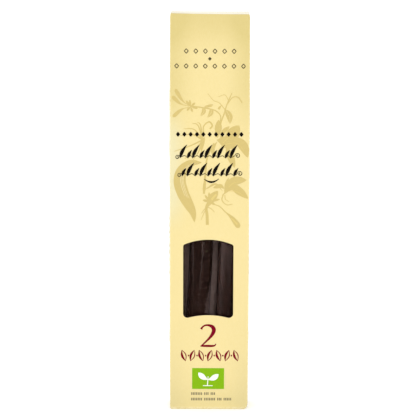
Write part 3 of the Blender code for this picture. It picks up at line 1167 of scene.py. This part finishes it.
maker_rows = lozenge_row(6, -12.1, 12.3, 157.35, 1.70, 1.95, 0.34)
maker_rows += lozenge_row(8, -16.2, 16.3, 151.05, 1.70, 1.90, 0.34)
maker_rows += lozenge(-0.05, 154.15, 1.5, 1.5)
print_shapes("maker_rows", maker_rows, UMBER_INK)
print_shapes("heading_row", lozenge_row(11, -14.9, 14.9, 121.8, 1.72, 2.05), BLACK_INK, layer=2)


def brush_leaf(x, z, length, width, lean):
    """One slanted brush mark about its middle: a lens, fullest near its foot, on a bowed axis."""
    share = share_along(30)
    bow = 0.09 * length * np.sin(math.pi * share)
    line = np.stack([x + lean * (share - 0.5) - bow, z + length * (share - 0.5)], axis=1)
    half = 0.5 * width * np.sin(math.pi * share**0.85) ** 1.1 + 0.06
    return [band(line, -half, half)]


def curl(x, z, radius, way):
    """A hairline spiral of one and a quarter turns, which starts at its outer end."""
    turn = np.linspace(0.0, 2.5 * math.pi, 44)
    reach = radius * (1.0 - 0.72 * turn / turn[-1])
    line = np.stack([x + way * (radius - reach * np.cos(turn)), z + reach * np.sin(turn)], axis=1)
    half = 0.10 + 0.10 * share_along(44)
    return [band(line, -half, half)]


def leafy_scroll(left, right, foot, count, tall_first):
    """A fine waving tendril with a curl at each end, and slanted brush leaves on it, tall and short."""
    made = []
    pitch = (right - left) / (count - 1)
    wave = []
    for order in range(count):
        tall = (order % 2 == 0) == tall_first
        length, width = (5.9, 1.38) if tall else (3.6, 1.18)
        x = left + order * pitch
        made += brush_leaf(x, foot + 0.5 * length, length, width, 0.50 * length)
        wave += [(x - 0.25 * length, foot + 0.35, 0.20), (x + 0.5 * pitch - 0.9, foot + 1.15, 0.24)]
    made += stroke(wave, 160)
    made += curl(wave[-1][0], wave[-1][1], 1.15, 1.0)
    made += curl(wave[0][0] - 0.1, wave[0][1] + 0.1, 1.0, -1.0)
    return made


scrolls = leafy_scroll(-11.2, 10.4, 111.4, 9, True) + leafy_scroll(-10.9, 11.4, 103.6, 9, False)
crescent = stroke(
    [(-2.4, 102.5, 0.15), (-0.9, 101.5, 0.55), (0.8, 101.1, 0.85), (2.5, 101.5, 0.55), (4.0, 102.5, 0.15)]
)
print_shapes("brush_scroll", scrolls + crescent, BLACK_INK, layer=1)

# %% The count, its garland, the badge and the small print
count_mark = stroke(
    [(-3.40, 36.1, 1.05), (-3.00, 36.9, 0.75), (-1.80, 37.8, 0.70), (-0.20, 37.9, 0.95), (1.45, 37.2, 1.55),
     (2.10, 35.9, 1.75), (1.70, 34.3, 1.55), (0.50, 32.5, 1.10), (-1.30, 30.6, 0.75), (-3.35, 28.60, 0.50)],
    64,
)
count_mark += stroke(
    [(-3.75, 28.55, 0.45), (-2.60, 28.62, 0.85), (-0.60, 28.64, 1.00), (1.30, 28.62, 0.95),
     (2.50, 28.85, 0.65), (3.10, 29.65, 0.30)]
)
print_shapes("pod_count", count_mark, RED_INK)

garland = []
for order, x in enumerate(row_of(7, -12.9, 13.6)):
    garland += pointed_leaf(x, 24.3, 5.0, 2.3, 1.7 if order % 2 else -1.7, 0.42, 0.42)
garland += lozenge_row(6, -10.8, 11.7, 24.3, 0.7, 0.9)
print_shapes("garland_row", garland, RED_INK)

print_shapes("leaf_badge", bar(-0.33, 13.94, 13.95, 9.42), GREEN_INK)
sprout = stem([(-0.6, 10.9), (-0.45, 13.0), (-0.3, 15.0)], 0.42, 0.30)
sprout += petal([(-0.4, 13.4), (-2.6, 14.6), (-4.6, 16.6)], 2.3)
sprout += petal([(-0.4, 13.4), (2.0, 14.2), (4.2, 15.9)], 2.3)
sprout += bar(-0.45, 10.75, 4.2, 0.34)
print_shapes("badge_sprout", sprout, WHITE_INK, layer=1)


def ticks(left, right, foot, height, seed):
    """A line of plain upright ticks between two edges, in millimetres, in groups of three to eight.

    At arm's length it has the grey of small type, and nothing in it is a letter.
    """
    chance = np.random.default_rng(seed)
    made, x, group = [], left, chance.integers(3, 9)
    while x < right:
        made += bar(x + 0.2 * height, foot + height / 2, 0.36 * height, height)
        x += 0.62 * height
        group -= 1
        if group == 0:
            x += 0.6 * height
            group = chance.integers(3, 9)
    return made


small_print = ticks(-7.7, 2.8, 6.55, 1.15, 3) + ticks(-7.7, 9.4, 4.05, 1.15, 5)
print_shapes("small_print", small_print, GREY_INK)

# %% [markdown]
# ## The other panels
#
# A maker prints the whole sheet before it is folded, so the back and sides carry
# the same yellow, the same vine tone and the same kinds of rows. The back has a
# block of small print and a white field of plain bars, such as a till reads.

# %% Back and side print
back_vine = stem([(-6.0, 122.0), (-3.2, 132.0), (1.6, 141.0), (3.4, 152.0)], 1.0, 0.5)
back_vine += leaf([(-4.8, 126.5), (-11.0, 131.0), (-12.6, 139.0), (-9.4, 147.5)], 5.4, 3, 0.9, 50)
back_vine += leaf([(-0.6, 136.8), (6.6, 135.2), (11.6, 139.4), (13.4, 146.8)], 5.0, 3, 0.9, 50)
back_vine += pod_shape([(2.4, 144.0), (7.0, 149.6), (9.8, 158.2)], 2.2)
back_vine += pod_shape([(3.2, 150.0), (0.4, 156.4), (-1.8, 164.0)], 2.2)
back_vine += stem([(3.4, 152.0), (5.8, 158.4), (4.2, 162.4), (2.4, 160.8)], 0.4, 0.25)
print_shapes("back_vine", back_vine, VINE_INK, on_back)

back_rows = []
for line in range(13):
    width = 13.4 if line % 6 != 5 else 4.0
    back_rows += ticks(-13.4, width, 112.0 - 3.1 * line, 1.0, 20 + line)
for line in range(5):
    back_rows += ticks(-13.4, 13.0 if line < 4 else -2.0, 66.0 - 2.6 * line, 0.85, 50 + line)
print_shapes("back_small_print", back_rows, GREY_INK, on_back)

print_shapes("back_heading", lozenge_row(9, -13.0, 13.0, 117.6, 2.0, 1.9), BLACK_INK, on_back)


def till_bars(left, right, z, height, unit, seed):
    """Upright bars and gaps of one, two or three units, drawn at random, so they encode nothing."""
    chance = np.random.default_rng(seed)
    made, x = [], left
    while x < right:
        width = unit * chance.integers(1, 4)
        made += bar(x + width / 2, z, width, height)
        x += width + unit * chance.integers(1, 4)
    return made


print_shapes("till_field", bar(0.0, 25.0, 26.0, 22.0), WHITE_INK, on_back)
print_shapes("till_bars", till_bars(-10.6, 10.4, 25.0, 17.0, 0.33, 8), BLACK_INK, on_back, layer=1)


def side_print(side_name, panel, tip):
    """One side panel: a climbing twig, rows of ticks and three slim leaves. Tip picks the twig's hand."""
    twig = stem([(tip, 98.0), (-tip, 112.0), (tip, 128.0), (-0.6 * tip, 143.0)], 0.8, 0.4)
    for order in range(4):
        way = 1.0 if order % 2 else -1.0
        foot = 101.0 + 10.0 * order
        twig += leaf([(0.0, foot), (3.4 * way, foot + 3.6), (4.6 * way, foot + 9.6)], 3.0, 2, 0.9)
    print_shapes(f"{side_name}_vine", twig, VINE_INK, panel)
    tick_rows = []
    for line in range(9):
        right = 5.0 if line % 4 != 3 else 0.5
        tick_rows += ticks(-5.2, right, 84.0 - 3.0 * line, 0.9, 70 + line)
    print_shapes(f"{side_name}_small_print", tick_rows, GREY_INK, panel)
    slim_leaves = []
    for order, x in enumerate(row_of(3, -4.8, 4.8)):
        lean = 1.4 if order % 2 else -1.4
        slim_leaves += pointed_leaf(x, 32.2, 4.4, 1.9, lean, 0.34, 0.24)
    print_shapes(f"{side_name}_garland", slim_leaves, RED_INK, panel)


side_print("left", on_left, 1.0)
side_print("right", on_right, -1.0)

# %% [markdown]
# ## The film
#
# Window film is glued to the back of the board and never lies quite flat: it
# draws into soft folds that run lengthwise and lean a little. The film's finish is
# clear, with a faint mirror that grows at a glancing angle, as on all clear
# plastics. The pale streaks over the near-black pods are painted reflections:
# bands drawn at given places make the mirror stronger there, apart from the
# folds' shape, and they fade out as painted shade along the window's cut edge.

# %% Folds in the film, and its finish
FILM_LEAN = 0.055  # the folds move this far sideways for each metre of height
FILM_MIDDLE_Z = (WINDOW_FOOT + WINDOW_HEAD) / 2
FILM_Y = film_low.y + 0.0002  # where it lies, flat
FILM_SHEET = 0.00004  # its thickness, a little more than real film's
FILM_FOLD = 0.00013  # the height of a fold
FIRST_GLUE = 0.0012  # the glue's line begins this far beside the window
GLUE_FADE = 0.002  # and the folds flatten out over this much
END_FADE = 0.003  # above and below the window they do so over this much
FILM_ROWS = 71
FILM_COLUMNS = 121


def film_points():
    """A sheet whose depth is two leaning lengthwise sine waves and a wandering one, flat at the glue."""
    x = np.linspace(film_low.x, film_high.x, FILM_COLUMNS)[None, :]
    z = np.linspace(film_low.z, film_high.z, FILM_ROWS)[:, None]
    across = x - FILM_LEAN * (z - FILM_MIDDLE_Z) + 0.0 * z
    fold = 0.5 * np.sin(across / 0.00105) + 0.8 * np.sin(across / 0.0019 + 1.1)
    fold += 0.5 * wander(across, z * 0.12, 0.004, 0.001, 11)
    free = soft_step(WINDOW_HALF + FIRST_GLUE - np.abs(x - WINDOW_X), 0.0, GLUE_FADE)
    free_foot = soft_step(z, WINDOW_FOOT - END_FADE, WINDOW_FOOT)
    free_head = 1 - soft_step(z, WINDOW_HEAD, WINDOW_HEAD + END_FADE)
    depth = FILM_FOLD * (fold + 1.2) * free * (free_foot * free_head)
    return np.stack(np.broadcast_arrays(x, FILM_Y + depth, z), axis=-1)


def clear_film():
    """Clear film: mostly open, with a faint mirror that grows at a glancing angle, and painted reflections in
    long streaks.

    Each streak is a painted reflection: a band between two edges where the mirror is
    stronger. It is given by where its edges lie at the window's head and at its foot,
    in millimetres from the middle, by how late it turns from one to the other (1 is a
    straight line), by the softness of its edges, and by its strength at head and
    foot. All streaks fade out before they reach the window's cut edge, as painted
    shade along that edge.
    """
    film = Finish("clear_film")
    low = 1.0 - film.z.step(WINDOW_FOOT, WINDOW_HEAD)
    # Painted reflections: the mirror's strength is painted in streaks at given places, not worked out from
    # the folds' shape.
    painted_reflection = film.noise(160.0, 2.0, 0.5, film.stretched(z=0.12)) * 0.002
    for head, foot, turn, soft, at_head, at_foot in (
        ((-13.0, -8.1), (-13.0, -8.3), 1.0, 0.22, 0.0046, 0.0020),
        ((-7.5, -6.7), (-7.2, -6.5), 1.0, 0.30, 0.0110, 0.0010),
        ((-3.1, -2.1), (-5.0, -4.2), 1.0, 0.30, 0.0120, 0.0020),
        ((1.4, 3.1), (-1.9, 1.8), 2.8, 0.25, 0.0092, 0.0180),
        ((3.9, 5.0), (3.4, 5.0), 1.0, 0.45, 0.0030, 0.0045),
        ((5.2, 6.9), (4.4, 6.4), 1.0, 0.35, 0.0215, 0.0040),
        ((6.9, 13.0), (6.6, 13.0), 1.0, 0.30, 0.0112, 0.0004),
    ):
        moved = low if turn == 1.0 else low.maths("POWER", turn)
        left = film.x - (moved * ((foot[0] - head[0]) * MM) + head[0] * MM)
        right = film.x - (moved * ((foot[1] - head[1]) * MM) + head[1] * MM)
        streak = left.step(-soft * MM, soft * MM) - right.step(-soft * MM, soft * MM)
        painted_reflection = painted_reflection + streak * (low * (at_foot - at_head) + at_head)
    painted_reflection = painted_reflection * (0.7 + film.noise(420.0, 2.0, 0.5, film.stretched(z=0.06)) * 0.6)
    # Painted shade along the window's cut edge: the streaks fade out towards its sides and both arches.
    across = film.x - WINDOW_X
    painted_reflection = painted_reflection * (1.0 - across.size().step(WINDOW_HALF - 1.0 * MM, WINDOW_HALF - 0.2 * MM))
    for arch, crown, near, edge in (
        (HEAD_ARCH, WINDOW_HEAD, -1.2 * MM, -0.5 * MM),
        (FOOT_ARCH, WINDOW_FOOT, 1.0 * MM, 0.3 * MM),
    ):
        up = film.z - (crown - arch)
        radius = (across * across + up * up).maths("SQRT")
        if near > edge:
            inside = radius.step(arch + edge, arch + near)
        else:
            inside = 1.0 - radius.step(arch + near, arch + edge)
        painted_reflection = painted_reflection * inside
    glancing = film.node("ShaderNodeLayerWeight", inputs={"Blend": 0.12}, output="Fresnel")
    clear = film.node("ShaderNodeBsdfTransparent", inputs={"Color": (0.97, 0.965, 0.95, 1.0)})
    shine = {"Color": (1.0, 0.72, 0.69, 1.0), "Roughness": 0.22}
    mirror = film.node("ShaderNodeBsdfGlossy", inputs=shine)
    share = painted_reflection + glancing * glancing * 0.55
    return film.surface(film.node("ShaderNodeMixShader", inputs={0: share, 1: clear, 2: mirror}))


window_film = new_object(
    "clear_window_film",
    film_points(),
    grid_faces(FILM_ROWS, FILM_COLUMNS),
    [clear_film()],
)
thicken(window_film, FILM_SHEET)
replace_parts(window_film, "window_film")

# %% [markdown]
# ## The pods
#
# A cured vanilla pod is a long flattened tube, blunt at the tip and drawn in to a
# thin hooked stem. Drying has shrunk it round its seeds, so its oily skin falls
# into long uneven furrows with finer creases between them. The shape is a
# function of the way along and the angle round: a flattened oval, whose radius is
# cut back by furrows that wander slowly from side to side.

# %% Pod shapes
POD_ROWS = 460
POD_SIDES = 120
POD_Y = -0.0029  # the pods' middle lies this far in front of the carton's
SWAY_CROSSING = 0.34  # the share of the way at which the spine crosses its middle line
FAN_HOLE = 0.02  # an end's fan of quads leaves a hole of this share of its width
TIP_ROUND = 0.012  # the share of the length that rounds off the blunt tip
STEM_ROUND = 0.006  # and the stem's end
FURROWS = ((5, 0.050), (9, 0.040), (15, 0.030), (23, 0.018))  # how many round the pod, and how deep
CREASE = 0.010  # depth of the finer creases, like the furrows' a share of the radius
STEM_DIP = 0.02  # the share of the length by which the bent stem ends lower


def pod_points(low, high, half_width, half_depth, sway, hook, seed):
    """The way along runs up the rows and the angle round along the columns.

    The spine sways from side to side as one sine wave, and near the stem it bends
    away. Girth grows from the blunt tip and draws in at the neck. Furrows are
    sharp valleys of sine waves in the angle, whose phase wanders along the pod.
    """
    along = np.linspace(0.0, 1.0, POD_ROWS)[:, None]
    angle = np.linspace(0.0, 2.0 * math.pi, POD_SIDES, endpoint=False)[None, :]
    length = high.z - low.z

    tip = 0.22 + 0.74 * soft_step(along, -0.02, 0.13)
    tip = tip * np.sqrt(np.clip(1.0 - (1.0 - along / TIP_ROUND).clip(0.0, 0.96) ** 2, 0.0, 1.0))
    neck = 1.0 - 0.68 * soft_step(along, 0.84, 0.955)
    swell = 1.0 + 0.035 * np.sin(2.0 * math.pi * (1.6 * along + 0.2))
    girth = 0.965 * tip * neck * swell + 0.10 * soft_step(along, 0.975, 1.0)
    past = (along - 0.994) / STEM_ROUND
    girth = girth * np.sqrt(np.clip(1.0 - past.clip(0.0, 0.98) ** 2, 0.0, 1.0))
    flat = soft_step(along, 0.0, 0.12) * (1.0 - soft_step(along, 0.85, 0.96))

    metres_round = angle * half_width * 0.8
    metres_along = along * length
    drift = 0.9 * wander(metres_along, 0.0 * angle, 0.06, 0.014, seed)
    relief = np.zeros((POD_ROWS, POD_SIDES))
    chance = np.random.default_rng(seed)
    for count, depth in FURROWS:
        turn = chance.uniform(0.0, 2.0 * math.pi)
        slip = wander(metres_along, 0.0 * angle, 0.03, 0.006, seed + count) * 1.6
        wave = np.abs(np.sin(0.5 * count * (angle + 0.22 * drift) + turn + slip))
        strength = 0.55 + 0.45 * wander(metres_along, metres_round, 0.02, 0.004, seed + 3 * count)
        relief += depth * (1.0 - wave**0.55) * np.clip(strength, 0.15, 1.2)
    relief += CREASE * np.abs(wander(metres_along, 2.0 * metres_round, 0.0028, 0.0009, seed + 90))
    relief = relief * soft_step(along, 0.0, 0.02) * (1.0 - 0.6 * soft_step(along, 0.93, 1.0))

    radius = girth * (1.0 - relief)
    deep = half_width + flat * (half_depth - half_width)
    bend = soft_step(along, 0.86, 1.0)
    centre = sway * np.sin(2.0 * math.pi * (along - SWAY_CROSSING)) + hook * bend**2
    across = radius * half_width * np.cos(angle)
    lean = hook * bend / length * 8.0
    x = centre + across
    x += (low.x + high.x) / 2 - (x.min() + x.max()) / 2
    y = POD_Y + radius * deep * np.sin(angle)
    z = low.z + length * (along - STEM_DIP * bend**2) / (1.0 - STEM_DIP) - across * lean
    z = np.clip(z, low.z, high.z)
    return np.stack(np.broadcast_arrays(x, y, z), axis=-1)


def close_tube(points):
    """Quads along a tube, with a fan of narrow quads over each end, drawn in to a pinhole."""
    tip, top = (end.mean(axis=1, keepdims=True) for end in (points[:1], points[-1:]))
    inner_tip = tip + FAN_HOLE * (points[:1] - tip)
    inner_top = top + FAN_HOLE * (points[-1:] - top)
    full = np.concatenate([inner_tip, points, inner_top])
    return full, grid_faces(len(full), full.shape[1], closed=True)


def pod_skin(name, warm, speck):
    """Oily, near-black brown skin: streaked, mottled, flecked and dull here and there, with one pale spot.

    Warm scales the brown. The pale spot lies at speck, its x and z in millimetres.
    """
    skin = Finish(name)
    streak = skin.noise(1100.0, 4.0, 0.65, skin.stretched(z=0.10))
    grain = skin.noise(3600.0, 3.0, 0.6, skin.stretched(z=0.5))
    mottle = skin.noise(2300.0, 3.0, 0.6, skin.stretched(z=0.22))
    bloom = skin.noise(240.0, 3.0, 0.6, skin.stretched(z=0.35)).step(0.52, 0.80)
    dark = (0.0030, 0.0008, 0.0004, 1.0)
    brown = (0.0190 * warm, 0.0070 * warm, 0.0050 * warm, 1.0)
    colour = skin.mix(streak.step(0.42, 0.74), dark, brown)
    colour = skin.mix(mottle.step(0.52, 0.74) * 0.5, colour, (0.054, 0.026, 0.021, 1.0))
    colour = skin.mix(bloom * 0.22, colour, (0.045, 0.030, 0.025, 1.0))
    fleck = skin.noise(1500.0, 1.0, 0.5, skin.stretched(z=0.55))
    colour = skin.mix(fleck.step(0.63, 0.71) * 0.50, colour, (0.120, 0.072, 0.064, 1.0))
    across, up = skin.x - speck[0] * MM, skin.z - speck[1] * MM
    pale_spot = 1.0 - (across * across + up * up).maths("SQRT").step(0.10 * MM, 0.36 * MM)
    colour = skin.mix(pale_spot * 0.9, colour, (0.240, 0.250, 0.150, 1.0))
    relief = streak * 0.6 + grain * 0.4
    return skin.principled(
        Base_Color=colour,
        Roughness=0.30 + bloom * 0.30 + grain * 0.10,
        Specular_IOR_Level=0.09,
        Specular_Tint=(1.0, 0.66, 0.56, 1.0),
        Normal=skin.bump(relief, 0.00010),
    )


def vanilla_pod(name, node, half_width, half_depth, sway, hook, seed, warm, speck):
    """One pod in place of a plain one of the model. All is in metres but the pale spot's place, in
    millimetres.
    """
    low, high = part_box(node)
    points, faces = close_tube(pod_points(low, high, half_width, half_depth, sway, hook, seed))
    made = new_object(name, points, faces, [pod_skin(f"{name}_skin", warm, speck)])
    keep_shape(made, 70.0)
    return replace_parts(made, node)


vanilla_pod(
    "vanilla_pod_left",
    "pod_left",
    half_width=0.0058,
    half_depth=0.0031,
    sway=0.0012,
    hook=-0.0046,
    seed=41,
    warm=1.0,
    speck=(-1.15, 70.3),
)
vanilla_pod(
    "vanilla_pod_right",
    "pod_right",
    half_width=0.0051,
    half_depth=0.0030,
    sway=0.0008,
    hook=0.0036,
    seed=57,
    warm=1.15,
    speck=(7.0, 31.0),
)

# %% [markdown]
# ## Light, floor and camera
#
# The carton stands in a white studio: a pale floor that runs out of sight, a
# nearly even white surround, and two soft lamps, one overhead and one in front,
# that give the front its gentle fall-off and leave a faint shadow at its foot. The
# camera is a long lens a little above the carton, looking straight at its front.


# %% Floor and surround
def floor_finish():
    """Matt white with the faintest unevenness."""
    floor = Finish("studio_floor")
    cloud = floor.noise(9.0, 2.0)
    return floor.principled(
        Base_Color=floor.mix(cloud, (0.90, 0.90, 0.90, 1.0), (0.92, 0.92, 0.92, 1.0)),
        Roughness=0.9,
        Specular_IOR_Level=0.0,
        Emission_Color=(1.0, 1.0, 1.0, 1.0),
        Emission_Strength=0.16,
    )


FLOOR_REACH = 12.0
FLOOR_GAP = 0.00002  # the floor lies this far under the carton, so that they share no plane
corners = np.array([[-1, -1, 0], [1, -1, 0], [1, 1, 0], [-1, 1, 0]], float) * FLOOR_REACH
corners[:, 2] = carton_low.z - FLOOR_GAP
floor_mesh = bpy.data.meshes.new("studio_floor")
floor_mesh.from_pydata(corners.tolist(), [], [(0, 1, 2, 3)])
floor_mesh.materials.append(floor_finish())
floor = bpy.data.objects.new("studio_floor", floor_mesh)
bpy.context.scene.collection.objects.link(floor)

world = bpy.data.worlds.new("studio_surround")
bpy.context.scene.world = world
world.use_nodes = True
SURROUND = 1.02  # its strength straight ahead
SURROUND_FALL = (-0.07, -0.02, -0.10)  # brighter on the left and in front, dimmer overhead
tree = world.node_tree
background = tree.nodes["Background"]
fall = tree.nodes.new("ShaderNodeVectorMath")
fall.operation = "DOT_PRODUCT"
fall.inputs[1].default_value = SURROUND_FALL
strength = tree.nodes.new("ShaderNodeMath")
strength.inputs[1].default_value = SURROUND
direction = tree.nodes.new("ShaderNodeTexCoord")
tree.links.new(direction.outputs["Generated"], fall.inputs[0])
tree.links.new(fall.outputs["Value"], strength.inputs[0])
tree.links.new(strength.outputs["Value"], background.inputs["Strength"])
background.inputs["Color"].default_value = (1.0, 1.0, 1.0, 1.0)

# %% Lamps
def lamp(name, kind, energy):
    """A lamp of a kind, in the scene."""
    made = bpy.data.objects.new(name, bpy.data.lights.new(name, kind))
    made.data.energy = energy
    bpy.context.scene.collection.objects.link(made)
    return made


ceiling = lamp("ceiling_light", "SUN", 0.75)
ceiling.data.angle = math.radians(40.0)
ceiling.rotation_euler = (math.radians(4.0), math.radians(-1.5), 0.0)

front_lamp = lamp("front_lamp", "AREA", 3.3)
front_lamp.data.shape = "SQUARE"
front_lamp.data.size = 0.8
front_lamp.location = (-0.16, -1.40, 0.80)
back = np.array(front_lamp.location) - [0.0, 0.0, HEIGHT / 2]  # from the carton's middle to the lamp
front_lamp.rotation_euler = (
    math.atan2(math.hypot(back[0], back[1]), back[2]),
    0.0,
    math.atan2(back[0], -back[1]),
)

# %% Camera
ELEVATION = math.radians(10.614)
DISTANCE = 0.9053  # from the carton's middle
ROLL = math.radians(0.2011)
camera_data = bpy.data.cameras.new("camera")
camera_data.sensor_width = 36.0
camera_data.lens = 178.7
camera_data.shift_x = 0.00137
camera_data.shift_y = 0.00542
camera_data.clip_start = 0.01
camera_data.clip_end = 60.0
camera = bpy.data.objects.new("camera", camera_data)
bpy.context.scene.collection.objects.link(camera)
camera.location = (
    0.0,
    -DISTANCE * math.cos(ELEVATION),
    HEIGHT / 2 + DISTANCE * math.sin(ELEVATION),
)
camera.rotation_mode = "XYZ"
camera.rotation_euler = (math.pi / 2 - ELEVATION, 0.0, 0.0)
camera.rotation_euler.rotate_axis("Z", ROLL)
bpy.context.scene.camera = camera
bpy.context.scene.view_settings.view_transform = "Standard"
